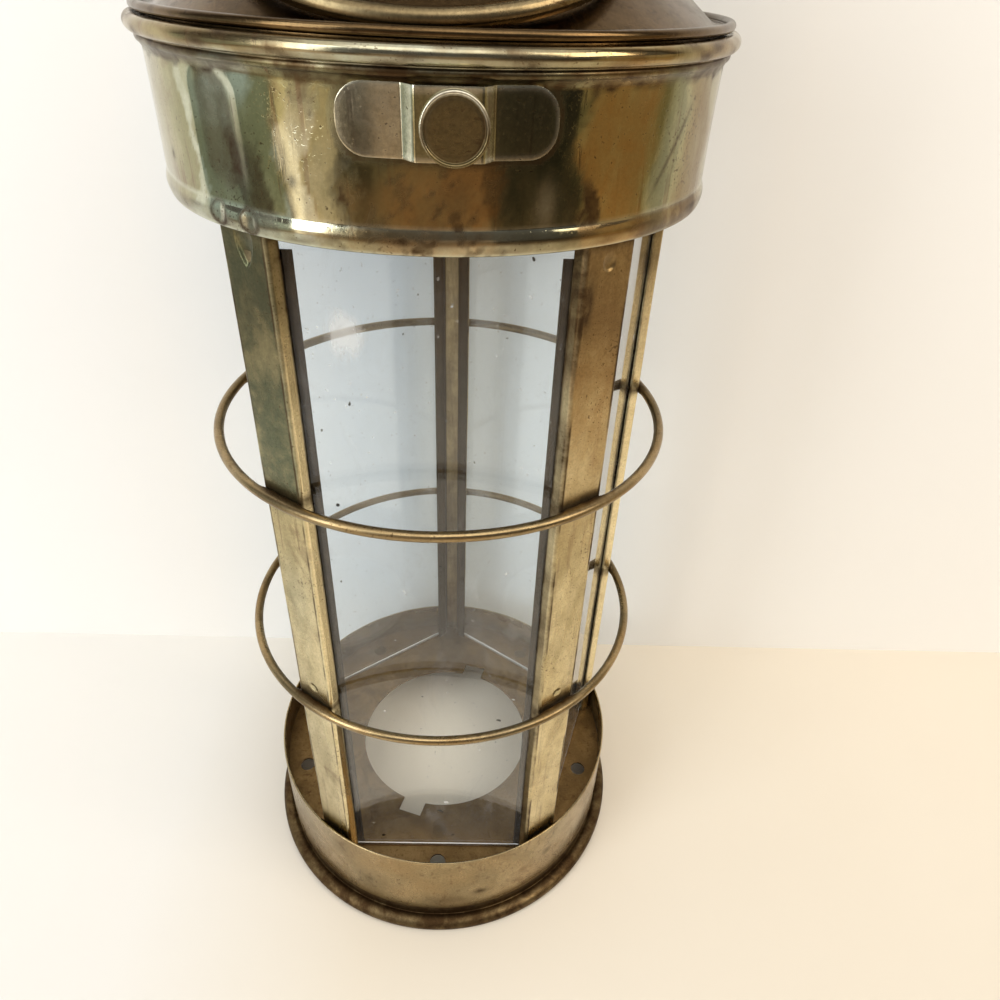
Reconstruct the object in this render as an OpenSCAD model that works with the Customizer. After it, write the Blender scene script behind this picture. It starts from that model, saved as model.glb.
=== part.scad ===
// Five-sided brass cargo lantern: round base, glazed frame with wire guards, collar and lift-off lid.
// Millimetres, +Z up. The origin is the centre of the foot on the surface that the lantern stands on.
// The front pane faces -Y.

/* [Sheet metal] */
// Thickness of the brass sheet in every folded or spun piece
sheet = 0.8; // [0.6:0.1:1.2]
// Gap between two pieces that are soldered face to face round a curve
solder_gap = 0.1; // [0.05:0.05:0.2]

/* [Base] */
// Outside diameter of the base wall
base_d = 150; // [140:1:160]
// Height of the base wall's open rim above the table
base_h = 45.5; // [38:0.5:60]
// Diameter of the rolled bead at the foot
foot_bead_d = 6.2; // [5:0.1:8]
// How far the middle of the foot bead stands outside the base wall
foot_reach = 1.9; // [1:0.1:2.5]
// Depth of the flat that the foot bead rests on
foot_flat = 0.4; // [0.2:0.1:0.6]
// Height of the floor's upper face above the table
floor_z = 31.5; // [20:0.5:34]
// Diameter of the burner hole in the floor
burner_d = 77; // [60:1:90]
// Width of the two bayonet notches at the burner hole
notch_w = 10; // [6:0.5:14]
// Depth of the bayonet notches outside the burner hole
notch_depth = 6; // [3:0.5:8]
// Direction of the first bayonet notch, in degrees from the front towards the right
notch_turn = -18; // [-30:1:30]
// Diameter of the drain hole in front of each pane
drain_d = 6.4; // [4:0.1:7]
// Distance from a pane's outer face to the near edge of its drain hole
drain_gap = 3.5; // [0.5:0.1:4]

/* [Frame and glass] */
// Width of the flat outer web of a corner post
post_w = 16; // [12:0.5:20]
// Depth of a post, from its web to the edges of its side walls
wall_depth = 4; // [3:0.1:5]
// Outside radius of the folds between a post's web and its side walls
post_bend = 1.2; // [1.2:0.1:2]
// Gap between the base wall and the outer corners of the posts
post_gap = 1.6; // [0.5:0.1:4]
// Thickness of the glass
glass_t = 3; // [2:0.5:4]
// Gap between the glass and the edges of the posts' side walls
glass_gap = 0.15; // [0.1:0.05:0.5]
// Slack between the glass and the inner retaining strip
strip_gap = 0.5; // [0.2:0.1:1]
// How far the glass reaches behind each side wall
glass_bite = 2; // [1:0.1:2.4]
// Width of the trough of the retaining strip, measured outside
trough_w = 7.6; // [5:0.2:8]
// How far the retaining strip shows past the post's side wall
strip_show = 2; // [0.5:0.1:3]
// Distance from the top of the retaining strips to the collar's lower edge
strip_short = 5; // [2:0.5:12]
// Length of the posts inside the collar
post_tuck = 18; // [10:0.5:20]
// Length of the panes inside the collar
pane_tuck = 10; // [4:0.5:16]
// Diameter of a punched stake mark on a post
stake_d = 3.6; // [2:0.1:5]
// Depth of a stake mark
stake_depth = 0.4; // [0.2:0.1:0.5]
// Height of the lower stake marks above the lower guard ring
stake_rise = 7; // [5:0.5:15]
// Distance of the upper stake marks below the collar
stake_drop = 4.5; // [3:0.5:12]

/* [Guard rings] */
// Diameter of the guard wire
wire_d = 3.2; // [2.5:0.1:5]
// Solder gap between a guard ring and the corners of the posts
ring_gap = 0.3; // [0.1:0.1:0.5]
// Height of the lower guard ring above the table
lower_ring_z = 123.4; // [80:1:160]
// Height of the upper guard ring above the table
upper_ring_z = 211.5; // [175:1:260]

/* [Collar] */
// Height of the collar's lower edge above the table
collar_z = 287; // [275:1:320]
// Height of the collar
collar_h = 39.2; // [36:0.2:50]
// Gap between the collar and the outer corners of the posts
collar_gap = 0.2; // [0.1:0.1:1]
// Diameter of the rolled bead along the collar's top
collar_bead_d = 3.9; // [3:0.1:5]
// How far both beads stay outside the collar's inner face
bead_step = 0.1; // [0.05:0.05:0.3]
// Diameter of the small bead under the top bead
under_bead_d = 2; // [1:0.1:3]
// Height of the bellied hem at the collar's lower edge
hem_h = 5.4; // [3:0.1:8]
// How far the hem swells outside the collar's wall
hem_belly = 0.6; // [0.3:0.1:1]

/* [Strap] */
// Direction of the strap, in degrees from the front towards the right
strap_turn = 4.4; // [-10:0.2:10]
// Length of the strap from end to end
strap_l = 43.6; // [36:0.2:50]
// Height of the strap
strap_h = 13.3; // [10:0.1:16]
// Height of the strap's middle above the collar's lower edge
strap_z = 26; // [18:0.5:27]
// Corner radius of the strap's two ends
strap_corner = 4.6; // [2:0.1:5]
// How far the middle of the strap stands off the collar
strap_lift = 2.5; // [1.5:0.1:4]
// Width of the raised middle at the collar
pocket_w = 17.6; // [16:0.2:22]
// Width of the flat face of the raised middle
pocket_face_w = 13; // [10:0.2:16]
// Diameter of the plain disc on the strap
disc_d = 13.6; // [8:0.1:15]
// Thickness of the disc
disc_t = 1.6; // [1:0.1:3]
// Width of the low rim round the disc
disc_rim_w = 0.8; // [0.5:0.1:1.5]
// Depth of the disc's flat face inside its rim
disc_recess = 0.3; // [0.1:0.1:0.8]
// How far the disc sits to the right of the strap's middle
disc_shift = 1; // [0:0.1:1.4]
// How far the disc sits below the strap's middle
disc_drop = 0.5; // [0:0.1:1]

/* [Lid] */
// Gap between the lid and the collar's top bead
lid_gap = 0.3; // [0.2:0.1:0.6]
// How far the lid's edge stays inside the collar's bead
lid_inset = 1.9; // [0.5:0.1:4]
// Width of the flat rim round the roof
lid_rim_w = 5; // [4:0.1:9]
// Diameter of the rolled edge of the lid
lid_edge_d = 2.2; // [1.6:0.1:3]
// Slope of the roof
roof_slope = 38; // [30:1:42]
// Gap between the lid's skirt and the collar
skirt_gap = 0.3; // [0.2:0.1:0.6]
// Depth of the lid's skirt inside the collar
skirt_h = 14; // [8:0.5:16]
// Outside diameter of the roof's neck, inside the vent chimney
neck_d = 59; // [50:1:60]
// Height of the roof's neck
neck_h = 5; // [3:0.5:7]

/* [Vent chimney and cap] */
// Height of the vent chimney
chimney_h = 26; // [22:0.5:30]
// Number of vent holes
vent_count = 12; // [8:1:14]
// Diameter of a vent hole
vent_d = 8; // [5:0.5:9]
// Height of the vent holes above the foot of the chimney
vent_z = 13.5; // [12:0.5:15]
// Diameter of the smoke cap, without its rolled edge
cap_d = 76; // [68:1:78]
// Rise of the smoke cap's dome
cap_rise = 12; // [8:0.5:16]
// Diameter of the smoke cap's rolled edge
cap_edge_d = 2.6; // [2:0.1:3]
// Depth of the cap's spigot inside the chimney
spigot_h = 4.5; // [3:0.5:6]

/* [Bail] */
// Diameter of the bail wire
bail_wire_d = 4; // [3:0.1:5]
// Radius of the bail's round end, at the middle of the wire
bail_r = 44; // [43:0.5:48]
// How far outside the roof's foot the middle of the bail's round end lies on the rim
bail_rest_out = 0.7; // [0.4:0.1:1.2]
// Gap between the lying bail and the lid's rim
bail_rest_gap = 0.3; // [0.2:0.1:0.6]
// Radius of the bend into each pivot end, at the middle of the wire
bend_r = 4; // [3:0.5:5]
// Radial running clearance of the bail's ends in the ears
pivot_clear = 0.08; // [0.05:0.01:0.1]
// Side play between the bail's ends and the ears
pivot_play = 0.4; // [0.3:0.1:1]
// Diameter of the upset heads that keep the bail in its ears
head_d = 6; // [5:0.1:7]
// Thickness of the upset heads
head_t = 1.5; // [1:0.1:2]
// Thickness of the ears
ear_t = 1.6; // [1.2:0.1:2]
// Width of the ears
ear_w = 11; // [9:0.5:14]
// Length of the sloping foot of each ear
ear_foot_l = 10; // [6:0.5:14]
// Gap between the pivot heads and the roof
head_gap = 0.8; // [0.4:0.1:2]

/* [Hidden] */
$fn = 96;
SIDES = 5;

brass = [0.72, 0.60, 0.34];
dark_brass = [0.52, 0.42, 0.25];
glass_blue = [0.80, 0.88, 0.92, 0.35];
// Reach of a cutting solid past the piece that it cuts
past = 1;
// Half of the angle between two panes
half_turn = 180 / SIDES;
base_r = base_d / 2;
foot_r = foot_bead_d / 2;

// Circle round the folds of the posts, and the flat faces that follow from it
corner_r = base_r - sheet - post_gap;
fold_v = post_w / 2 - post_bend;
fold_u = sqrt(pow(corner_r - post_bend, 2) - pow(fold_v, 2));
post_r = fold_u + post_bend;
wall_end = post_r - wall_depth;
glass_out = wall_end * cos(half_turn) + (post_w / 2 - sheet) * sin(half_turn) - glass_gap;
glass_in = glass_out - glass_t;
strip_out = glass_in - strip_gap;
strip_in = strip_out - sheet;
// Places along a pane, measured from its middle: the edges of the post's wall, the glass and the strip
wall_s = wall_end * sin(half_turn) - post_w / 2 * cos(half_turn);
glass_s = wall_s + glass_bite;
strip_s = wall_s - strip_show;

collar_in = corner_r + collar_gap;
collar_r = collar_in + sheet;
collar_top = collar_z + collar_h;
bead_r = collar_bead_d / 2;
bead_in = collar_in + bead_step;
bead_out = bead_in + collar_bead_d;
ring_r = corner_r + ring_gap + wire_d / 2;

strap_r = collar_r + solder_gap;
strap_face = strap_r + strap_lift + sheet;

lid_z = collar_top + lid_gap;
lid_top = lid_z + sheet;
lid_r = bead_out - lid_inset;
edge_r = lid_edge_d / 2;
roof_r = lid_r - lid_rim_w;
neck_r = neck_d / 2;
neck_z = roof_z(neck_r);
chimney_in = neck_r + solder_gap;
chimney_r = chimney_in + sheet;
chimney_z = neck_z + solder_gap;
chimney_top = chimney_z + chimney_h;
cap_r = cap_d / 2;
dome_r = (pow(cap_r, 2) + pow(cap_rise, 2)) / (2 * cap_rise);
dome_z = chimney_top + solder_gap - sqrt(pow(dome_r - sheet, 2) - pow(chimney_r, 2));

bail_wire_r = bail_wire_d / 2;
bend_x = bail_r - bend_r;
ear_out = bend_x - pivot_play - bail_wire_r / 2;
ear_in = ear_out - ear_t;
head_x = ear_in - pivot_play;
pivot_z = roof_z(head_x - head_t) + head_d / 2 + head_gap;
bail_rest_r = roof_r + bail_rest_out;
bail_drop = pivot_z - lid_top - bail_rest_gap - bail_wire_r;
bail_l = sqrt(pow(bail_rest_r, 2) + pow(bail_drop, 2));
bail_tilt = atan2(bail_drop, bail_rest_r);
leg_l = bail_l - bail_r;

// Height of the roof's upper face at a distance from the axis
function roof_z(r) = lid_top + (roof_r - r) * tan(roof_slope);

// Point in a post's own plan, radius first, from its distance s along the pane and its distance a from the axis
function pane_point(a, s) =
    [a * cos(half_turn) + s * sin(half_turn), a * sin(half_turn) - s * cos(half_turn)];

// Point where the line v = constant meets a face at distance a from the axis
function face_at(a, v) = [(a - v * sin(half_turn)) / cos(half_turn), v];

// Open outline of one half, closed by its mirror image across the post's middle
function both_halves(half) =
    concat(half, [for (i = [len(half) - 1 : -1 : 0]) [half[i][0], -half[i][1]]]);

module tube(r_in, r_out, z_low, z_high) {
    translate([0, 0, z_low])
        difference() {
            cylinder(r = r_out, h = z_high - z_low);
            translate([0, 0, -past])
                cylinder(r = r_in, h = z_high - z_low + 2 * past);
        }
}

// Side i of the lantern turned to its place: 1 is the front, then to the right and round
module at_side(i) {
    rotate([0, 0, -90 + (i - 1) * 2 * half_turn])
        children();
}

// Corner i, to the right of side i
module at_corner(i) {
    rotate([0, 0, -90 + half_turn + (i - 1) * 2 * half_turn])
        children();
}

// Straight wall with a round bead rolled outwards at the foot, cut flat where it stands
module base_band() {
    bead_z = foot_r - foot_flat;
    color(brass)
        rotate_extrude()
            union() {
                translate([base_r - sheet, bead_z])
                    square([sheet, base_h - bead_z]);
                intersection() {
                    translate([base_r + foot_reach, bead_z])
                        circle(r = foot_r);
                    translate([base_r - foot_bead_d, 0])
                        square([2 * foot_bead_d + foot_reach, foot_bead_d]);
                }
            }
}

// Round floor with the burner hole, its two bayonet notches and a drain in front of each pane
module floor_plate() {
    plate_r = base_r - sheet - solder_gap;
    drain_r = glass_out + drain_gap + drain_d / 2;
    color(dark_brass)
        translate([0, 0, floor_z - sheet])
            difference() {
                cylinder(r = plate_r, h = sheet);
                translate([0, 0, -past])
                    cylinder(d = burner_d, h = sheet + 2 * past);
                for (half = [0, 180])
                    rotate([0, 0, -90 + notch_turn + half])
                        translate([0, -notch_w / 2, -past])
                            cube([burner_d / 2 + notch_depth, notch_w, sheet + 2 * past]);
                for (i = [1 : SIDES])
                    at_side(i)
                        translate([drain_r, 0, -past])
                            cylinder(d = drain_d, h = sheet + 2 * past);
            }
}

// Section of a post: a flat web, and a side wall folded in towards the pane on each side
module channel() {
    union() {
        translate([post_r - sheet, -fold_v])
            square([sheet, 2 * fold_v]);
        for (side = [0, 1])
            mirror([0, side, 0]) {
                translate([fold_u, fold_v])
                    intersection() {
                        difference() {
                            circle(r = post_bend);
                            circle(r = post_bend - sheet);
                        }
                        square(post_bend);
                    }
                translate([wall_end, post_w / 2 - sheet])
                    square([fold_u - wall_end, sheet]);
            }
    }
}

// Channel that stands on the floor at a corner, with two punched stake marks in its web
module corner_post(i) {
    stake_r = (pow(stake_d / 2, 2) + pow(stake_depth, 2)) / (2 * stake_depth);
    color(brass)
        at_corner(i)
            difference() {
                translate([0, 0, floor_z])
                    linear_extrude(collar_z + post_tuck - floor_z)
                        channel();
                for (z = [lower_ring_z + stake_rise, collar_z - stake_drop])
                    translate([post_r + stake_r - stake_depth, 0, z])
                        sphere(r = stake_r);
            }
}

// Hat-section strip inside each post: a trough against the web, and a flange behind each pane
module retaining_strip(i) {
    trough_out = post_r - sheet;
    v_out = trough_w / 2;
    v_in = v_out - sheet;
    half = [
        [trough_out, v_out],
        face_at(strip_out, v_out),
        pane_point(strip_out, strip_s),
        pane_point(strip_in, strip_s),
        face_at(strip_in, v_in),
        [trough_out - sheet, v_in]
    ];
    color(dark_brass)
        at_corner(i)
            translate([0, 0, floor_z])
                linear_extrude(collar_z - strip_short - floor_z)
                    polygon(both_halves(half));
}

// Flat pane standing on the floor, its upper edge hidden inside the collar
module glass_pane(i) {
    color(glass_blue)
        at_side(i)
            translate([glass_in, -glass_s, floor_z])
                cube([glass_t, 2 * glass_s, collar_z + pane_tuck - floor_z]);
}

// Plain ring of round wire soldered to the corners of the posts
module guard_ring(z) {
    color(dark_brass)
        translate([0, 0, z])
            rotate_extrude()
                translate([ring_r, 0])
                    circle(d = wire_d);
}

// Band with a double bead along its top and a bellied hem along its lower edge
module collar() {
    belly_r = (pow(hem_h / 2, 2) + pow(hem_belly, 2)) / (2 * hem_belly);
    under_z = collar_top - collar_bead_d - under_bead_d / 2;
    color(brass)
        rotate_extrude()
            union() {
                translate([collar_in, collar_z])
                    square([sheet, collar_h - bead_r]);
                translate([bead_in + bead_r, collar_top - bead_r])
                    circle(r = bead_r);
                translate([bead_in + under_bead_d / 2, under_z])
                    circle(d = under_bead_d);
                intersection() {
                    translate([collar_r + hem_belly - belly_r, collar_z + hem_h / 2])
                        circle(r = belly_r);
                    translate([collar_in, collar_z])
                        square([sheet + 2 * hem_belly, hem_h]);
                }
            }
}

// Rectangle with round corners, standing in the X-Z plane and reaching back along +Y
module round_plate(w, h, corner, depth) {
    rotate([90, 0, 0])
        translate([0, 0, -depth])
            linear_extrude(depth)
                union() {
                    square([w - 2 * corner, h], center = true);
                    square([w, h - 2 * corner], center = true);
                    for (x = [-1, 1], z = [-1, 1])
                        translate([x * (w / 2 - corner), z * (h / 2 - corner)])
                            circle(r = corner);
                }
}

// Strap bent like an omega: two flat tabs on the collar and a raised middle open above and below
module collar_strap() {
    wide = pocket_w / 2;
    face = pocket_face_w / 2;
    foot_y = sqrt(pow(strap_r, 2) - pow(face, 2));
    rise = strap_face - foot_y;
    run = wide - face;
    inner_wide = wide - sheet * sqrt(pow(run, 2) + pow(rise, 2)) / rise;
    inner_face = inner_wide - run * (rise - sheet) / rise;
    middle = [
        [-wide, -foot_y], [-face, -strap_face], [face, -strap_face], [wide, -foot_y],
        [inner_wide, -foot_y], [inner_face, sheet - strap_face],
        [-inner_face, sheet - strap_face], [-inner_wide, -foot_y]
    ];
    color(brass)
        rotate([0, 0, strap_turn])
            translate([0, 0, collar_z + strap_z])
                union() {
                    intersection() {
                        tube(strap_r, strap_r + sheet, -strap_h, strap_h);
                        translate([0, -strap_r - strap_lift, 0])
                            round_plate(strap_l, strap_h, strap_corner, strap_r);
                        union() {
                            for (side = [0, 1])
                                mirror([side, 0, 0])
                                    translate([wide - sheet, -2 * strap_r, -strap_h])
                                        cube([strap_l, 2 * strap_r, 2 * strap_h]);
                        }
                    }
                    translate([0, 0, -strap_h / 2])
                        linear_extrude(strap_h)
                            polygon(middle);
                }
}

// Plain round disc on the face of the strap, with a low rim
module strap_disc() {
    color(dark_brass)
        rotate([0, 0, strap_turn])
            translate([disc_shift, -strap_face - solder_gap, collar_z + strap_z - disc_drop])
                rotate([90, 0, 0])
                    difference() {
                        cylinder(d = disc_d, h = disc_t);
                        translate([0, 0, disc_t - disc_recess])
                            cylinder(d = disc_d - 2 * disc_rim_w, h = disc_t);
                    }
}

// Roof in one sheet: rolled edge, flat rim, cone and upright neck
module lid_roof() {
    rim_bend = sheet * tan(roof_slope / 2);
    under_neck_z = roof_z(neck_r - sheet) - sheet / cos(roof_slope);
    outline = [
        [lid_r - edge_r, lid_z], [lid_r - edge_r, lid_top], [roof_r, lid_top], [neck_r, neck_z],
        [neck_r, neck_z + neck_h], [neck_r - sheet, neck_z + neck_h],
        [neck_r - sheet, under_neck_z], [roof_r - rim_bend, lid_z]
    ];
    color(brass)
        rotate_extrude()
            union() {
                polygon(outline);
                translate([lid_r - edge_r, lid_z + edge_r])
                    circle(r = edge_r);
            }
}

// Short cylinder under the lid's rim that slides inside the collar
module lid_skirt() {
    skirt_r = collar_in - skirt_gap;
    color(brass)
        tube(skirt_r - sheet, skirt_r, lid_z - skirt_h, lid_z);
}

// Drum round the roof's neck, with a row of vent holes under the cap
module vent_chimney() {
    color(brass)
        difference() {
            tube(chimney_in, chimney_r, chimney_z, chimney_top);
            for (k = [0 : vent_count - 1])
                rotate([0, 0, (k + 0.5) * 360 / vent_count])
                    translate([chimney_in - past, 0, chimney_z + vent_z])
                        rotate([0, 90, 0])
                            cylinder(d = vent_d, h = sheet + 2 * past);
        }
}

// Shallow dome that overhangs the chimney, with a rolled edge and a spigot inside the drum
module smoke_cap() {
    edge_z = dome_z + sqrt(pow(dome_r, 2) - pow(cap_r, 2)) - sheet / 2;
    spigot_r = chimney_in - solder_gap;
    color(brass)
        rotate_extrude()
            union() {
                translate([0, dome_z])
                    intersection() {
                        difference() {
                            circle(r = dome_r);
                            circle(r = dome_r - sheet);
                        }
                        square([cap_r, 2 * dome_r]);
                    }
                translate([cap_r, edge_z])
                    circle(d = cap_edge_d);
                translate([spigot_r - sheet, chimney_top - spigot_h])
                    square([sheet, spigot_h + sheet]);
            }
}

// Ear on the right of the roof: a rounded lug with a pivot hole and a sloping foot, cut to the cone
module right_ear() {
    reach = pivot_z - roof_z(ear_out + ear_foot_l);
    color(brass)
        difference() {
            union() {
                translate([ear_in, 0, pivot_z])
                    rotate([0, 90, 0])
                        cylinder(d = ear_w, h = ear_t);
                translate([ear_in, -ear_w / 2, pivot_z - reach])
                    cube([ear_t, ear_w, reach]);
                intersection() {
                    translate([ear_in, -ear_w / 2, pivot_z - reach])
                        cube([ear_foot_l, ear_w, reach]);
                    roof_cone(ear_t / cos(roof_slope) + solder_gap);
                }
            }
            roof_cone(solder_gap);
            translate([ear_in - past, 0, pivot_z])
                rotate([0, 90, 0])
                    cylinder(r = bail_wire_r + pivot_clear, h = ear_t + 2 * past);
        }
}

// Solid cone that follows the roof's upper face, lifted by a given height
module roof_cone(lift) {
    rise = roof_r * tan(roof_slope);
    translate([0, 0, lid_top + lift])
        cylinder(r1 = roof_r, r2 = 0, h = rise);
    translate([0, 0, lid_z])
        cylinder(r = roof_r, h = lid_top + lift - lid_z);
}

// One half of the bail lying flat: pivot head, pivot end, bend, leg and a quarter of the round end
module half_bail() {
    translate([head_x - head_t, 0, 0])
        rotate([0, 90, 0])
            cylinder(d = head_d, h = head_t);
    translate([head_x, 0, 0])
        rotate([0, 90, 0])
            cylinder(r = bail_wire_r, h = bend_x - head_x);
    translate([bend_x, -bend_r, 0])
        rotate_extrude(angle = 90)
            translate([bend_r, 0])
                circle(r = bail_wire_r);
    translate([bail_r, -bend_r, 0])
        rotate([90, 0, 0])
            cylinder(r = bail_wire_r, h = leg_l - bend_r);
    translate([0, -leg_l, 0])
        rotate([0, 0, -90])
            rotate_extrude(angle = 90)
                translate([bail_r, 0])
                    circle(r = bail_wire_r);
}

// Wire bail lying forward on the lid's rim
module bail() {
    color(dark_brass)
        translate([0, 0, pivot_z])
            rotate([bail_tilt, 0, 0])
                union() {
                    half_bail();
                    mirror([1, 0, 0])
                        half_bail();
                }
}

base_band();
floor_plate();
for (i = [1 : SIDES]) {
    corner_post(i);
    retaining_strip(i);
    glass_pane(i);
}
guard_ring(lower_ring_z);  // lower_guard_ring
guard_ring(upper_ring_z);  // upper_guard_ring
collar();
collar_strap();
strap_disc();
lid_roof();
lid_skirt();
vent_chimney();
smoke_cap();
mirror([1, 0, 0]) right_ear();  // bail_ear_left
right_ear();  // bail_ear_right
bail();
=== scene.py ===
"""Five-sided brass cargo lantern: worked sheet brass, hazy panes and plain studio light."""
import math

import bmesh
import bpy
import numpy as np
from mathutils import Matrix


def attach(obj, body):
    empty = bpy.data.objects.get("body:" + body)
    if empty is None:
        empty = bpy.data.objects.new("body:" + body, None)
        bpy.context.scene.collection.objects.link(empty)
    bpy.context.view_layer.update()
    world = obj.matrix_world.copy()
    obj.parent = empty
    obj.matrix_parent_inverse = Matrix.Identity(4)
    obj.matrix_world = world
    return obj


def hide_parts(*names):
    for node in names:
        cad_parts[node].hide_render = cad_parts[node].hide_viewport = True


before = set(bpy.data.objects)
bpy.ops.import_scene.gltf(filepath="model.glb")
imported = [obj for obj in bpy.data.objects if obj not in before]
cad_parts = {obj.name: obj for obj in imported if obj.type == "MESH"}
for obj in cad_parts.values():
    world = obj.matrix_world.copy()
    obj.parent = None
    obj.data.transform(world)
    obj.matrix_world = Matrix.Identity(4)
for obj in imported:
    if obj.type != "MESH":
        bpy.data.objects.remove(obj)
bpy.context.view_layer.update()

scene = bpy.context.scene

MM = 0.001
# A limit past every measure, for shapes that are open on one side
FAR = 999
SIDES = 5
FRONT_RIGHT, FRONT_LEFT = 1, 5
HALF_TURN = math.radians(180 / SIDES)
COS, SIN = math.cos(HALF_TURN), math.sin(HALF_TURN)

# Sizes of the solids, in millimetres
SHEET = 0.8
BASE_R, BASE_H = 75.0, 45.5
FOOT_BEAD_R, FOOT_REACH, FOOT_FLAT = 3.1, 1.9, 0.4
FLOOR_Z = 31.5
CORNER_R = BASE_R - SHEET - 1.6
POST_W, WALL_DEPTH, POST_BEND = 16.0, 4.0, 1.2
FOLD_V = POST_W / 2 - POST_BEND
FOLD_U = math.sqrt((CORNER_R - POST_BEND) ** 2 - FOLD_V ** 2)
POST_R = FOLD_U + POST_BEND
WALL_END = POST_R - WALL_DEPTH
WALL_S = WALL_END * SIN - POST_W / 2 * COS
GLASS_T = 3.0
GLASS_OUT = WALL_END * COS + (POST_W / 2 - SHEET) * SIN - 0.15
GLASS_IN = GLASS_OUT - GLASS_T
GLASS_S = WALL_S + 2.0
STRIP_OUT = GLASS_IN - 0.5
STRIP_S = WALL_S - 2.0
TROUGH_W = 7.6
WIRE_R = 1.6
RING_R = CORNER_R + 0.3 + WIRE_R
LOW_RING_Z, HIGH_RING_Z = 123.4, 211.5
COLLAR_Z, COLLAR_H = 287.0, 39.2
COLLAR_TOP = COLLAR_Z + COLLAR_H
COLLAR_IN = CORNER_R + 0.2
COLLAR_R = COLLAR_IN + SHEET
BEAD_R, UNDER_BEAD_R, BEAD_STEP = 1.95, 1.0, 0.1
HEM_H, HEM_BELLY = 5.4, 0.6
POST_TOP, PANE_TOP, STRIP_TOP = COLLAR_Z + 18, COLLAR_Z + 10, COLLAR_Z - 5
LOW_STAKE_Z, HIGH_STAKE_Z = 130.4, 282.5
STRAP_TURN, STRAP_L, STRAP_H, STRAP_Z = math.radians(4.4), 43.6, 13.3, COLLAR_Z + 26
STRAP_CORNER, STRAP_LIFT = 5.8, 2.5
POCKET_W, POCKET_FACE_W = 17.6, 13.0
STRAP_R = COLLAR_R + 0.1
STRAP_FACE = STRAP_R + STRAP_LIFT + SHEET
DISC_R, DISC_T, DISC_RIM, DISC_RECESS = 6.8, 1.6, 0.8, 0.3
DISC_SHIFT, DISC_DROP = 1.0, 0.5
LID_Z = COLLAR_TOP + 0.3
LID_TOP = LID_Z + SHEET
LID_R = COLLAR_IN + BEAD_STEP + 2 * BEAD_R - 1.9
LID_EDGE_R = 1.1
ROOF_R = LID_R - 5.0
ROOF_RISE = math.tan(math.radians(38))
NECK_R, NECK_H = 29.5, 5.0


# Mesh making

def piece(name, points, faces, body, stands_for, material, wear_and_light=None, smooth=True):
    """Makes a mesh in metres from millimetre points, faces outwards, riding on a body. The function for the
    painted shares gives four for each point: dirt and painted shade, green tarnish and painted reflection,
    copper tint and painted reflection, and bright metal and painted highlights."""
    mesh = bpy.data.meshes.new(name)
    mesh.from_pydata((np.asarray(points).reshape(-1, 3) * MM).tolist(), [], faces)
    work = bmesh.new()
    work.from_mesh(mesh)
    bmesh.ops.remove_doubles(work, verts=work.verts, dist=1e-7)
    bmesh.ops.recalc_face_normals(work, faces=work.faces)
    work.to_mesh(mesh)
    work.free()
    mesh.polygons.foreach_set("use_smooth", np.full(len(mesh.polygons), smooth))
    if wear_and_light:
        flat = np.empty(len(mesh.vertices) * 3)
        mesh.vertices.foreach_get("co", flat)
        shares = np.clip(np.stack(np.broadcast_arrays(*wear_and_light(*flat.reshape(-1, 3).T / MM)), -1), 0, 1)
        painted = mesh.attributes.new("wear_and_light", "FLOAT_COLOR", "POINT")
        painted.data.foreach_set("color", shares.ravel())
        bare_and_highlight = mesh.attributes.new("bare_and_highlight", "FLOAT", "POINT")
        bare_and_highlight.data.foreach_set("value", np.ascontiguousarray(shares[:, 3]))
    made = bpy.data.objects.new(name, mesh)
    scene.collection.objects.link(made)
    made.data.materials.append(material)
    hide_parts(*stands_for)
    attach(made, body)
    return made


def grid_faces(rows, columns, close_rows=False, close_columns=False):
    """Quads of a grid of points numbered row by row, joined end to end where a direction is closed."""
    i = np.arange(rows if close_rows else rows - 1)[:, None]
    j = np.arange(columns if close_columns else columns - 1)[None, :]
    after_i = (i + 1) % rows
    after_j = (j + 1) % columns
    quads = np.stack([i * columns + j, i * columns + after_j,
                      after_i * columns + after_j, after_i * columns + j], -1)
    return quads.reshape(-1, 4).tolist()


def revolve(profile, count, bend=None):
    """A closed profile of radius and height carried round the axis: radius times cosine and sine of the
    turn. bend gives each point's change of radius from its turn, height and radius."""
    profile = np.asarray(profile, float)
    turn = np.arange(count)[:, None] * 2 * np.pi / count
    height = np.broadcast_to(profile[:, 1], (count, len(profile)))
    radius = profile[:, 0] + (bend(turn, height, profile[:, 0]) if bend else 0)
    points = np.stack([radius * np.cos(turn), radius * np.sin(turn), height], -1)
    return points, grid_faces(count, len(profile), True, True)


def arc(centre, radius, start, end, count):
    """Points on a circle from one angle to another, in degrees."""
    angle = np.radians(np.linspace(start, end, count))
    return np.stack([centre[0] + radius * np.cos(angle), centre[1] + radius * np.sin(angle)], -1)


def line(start, end, count):
    """Evenly spaced points on a straight line, without its last point."""
    share = np.arange(count)[:, None] / count
    return np.asarray(start) * (1 - share) + np.asarray(end) * share


def bent_path(corners, radius, step):
    """Corners joined by straight lines, resampled at even steps, and each point averaged with its
    neighbours within the radius, which rounds the bends."""
    corners = np.asarray(corners, float)
    run = np.r_[0, np.cumsum(np.hypot(*np.diff(corners, axis=0).T))]
    at = np.linspace(0, run[-1], int(run[-1] / step) + 1)
    path = np.stack([np.interp(at, run, corners[:, k]) for k in (0, 1)], -1)
    reach = max(1, int(radius / step))
    window = np.hanning(2 * reach + 3)[1:-1]
    window /= window.sum()
    before = 2 * path[0] - path[reach:0:-1]
    after = 2 * path[-1] - path[-2:-reach - 2:-1]
    padded = np.concatenate([before, path, after])
    return np.stack([np.convolve(padded[:, k], window, "valid") for k in (0, 1)], -1)


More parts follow.
